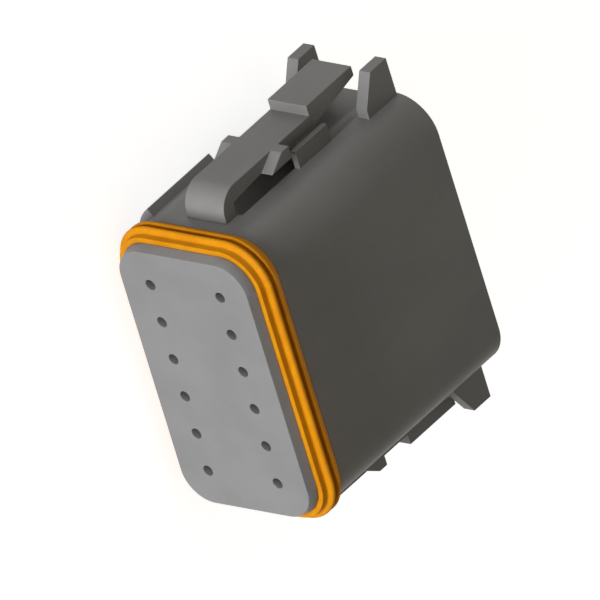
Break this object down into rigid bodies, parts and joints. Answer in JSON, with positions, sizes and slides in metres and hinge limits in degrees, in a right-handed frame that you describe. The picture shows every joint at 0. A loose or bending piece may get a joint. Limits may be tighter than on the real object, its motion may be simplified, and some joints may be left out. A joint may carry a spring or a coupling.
{
  "type": "sealed rectangular plug connector",
  "caption": "Rectangular sealed plug connector with a grid of pin holes, an orange ribbed seal round its nose, and a sprung latch on each narrow side.",
  "frame": {"origin": "centre of the flat mating face, in the middle of the grid of pin holes", "axes": "+Y from the mating face back to the wire side, +X along the rows from one latch to the other, +Z across the two columns, up as the plug lies on a wide side"},
  "size_m": [0.0382, 0.0291, 0.0186],
  "materials": {
    "housing_plastic": "grey moulded thermoplastic with a fine satin grain",
    "wedge_plastic": "grey moulded thermoplastic with a fine satin grain",
    "orange_rubber": "orange silicone rubber, satin",
    "contact_nickel": "nickel-plated turned copper alloy",
    "hood_steel": "thin drawn stainless steel"
  },
  "bodies": {
    "housing_body": {"housing": "housing_plastic", "interface_seal": "orange_rubber", "wire_seal": "orange_rubber", "contact_block_1": "housing_plastic", "contact_block_2": "housing_plastic", "contact_1": "contact_nickel", "contact_2": "contact_nickel", "contact_3": "contact_nickel", "contact_4": "contact_nickel", "contact_5": "contact_nickel", "contact_6": "contact_nickel", "contact_7": "contact_nickel", "contact_8": "contact_nickel", "contact_9": "contact_nickel", "contact_10": "contact_nickel", "contact_11": "contact_nickel", "contact_12": "contact_nickel", "hood_1": "hood_steel", "hood_2": "hood_steel", "hood_3": "hood_steel", "hood_4": "hood_steel", "hood_5": "hood_steel", "hood_6": "hood_steel", "hood_7": "hood_steel", "hood_8": "hood_steel", "hood_9": "hood_steel", "hood_10": "hood_steel", "hood_11": "hood_steel", "hood_12": "hood_steel"},
    "wedge": {"wedge_lock": "wedge_plastic"},
    "upper_arm": {"upper_latch": "housing_plastic"},
    "lower_arm": {"lower_latch": "housing_plastic"}
  },
  "joints": [
    {"name": "wedge_pull", "type": "slide", "parent": "housing_body", "child": "wedge", "axis": [0, -1, 0], "range_m": [0, 0.0115]},
    {"name": "upper_latch_flex", "type": "hinge", "parent": "housing_body", "child": "upper_arm", "pos_m": [-0.01499, 0.00625, 0], "axis": [0, 0, -1], "range_deg": [0, 6.5], "stiffness_Nm_per_rad": 1},
    {"name": "lower_latch_flex", "type": "hinge", "parent": "housing_body", "child": "lower_arm", "pos_m": [0.01499, 0.00625, 0], "axis": [0, 0, 1], "range_deg": [0, 6.5], "stiffness_Nm_per_rad": 1}
  ]
}
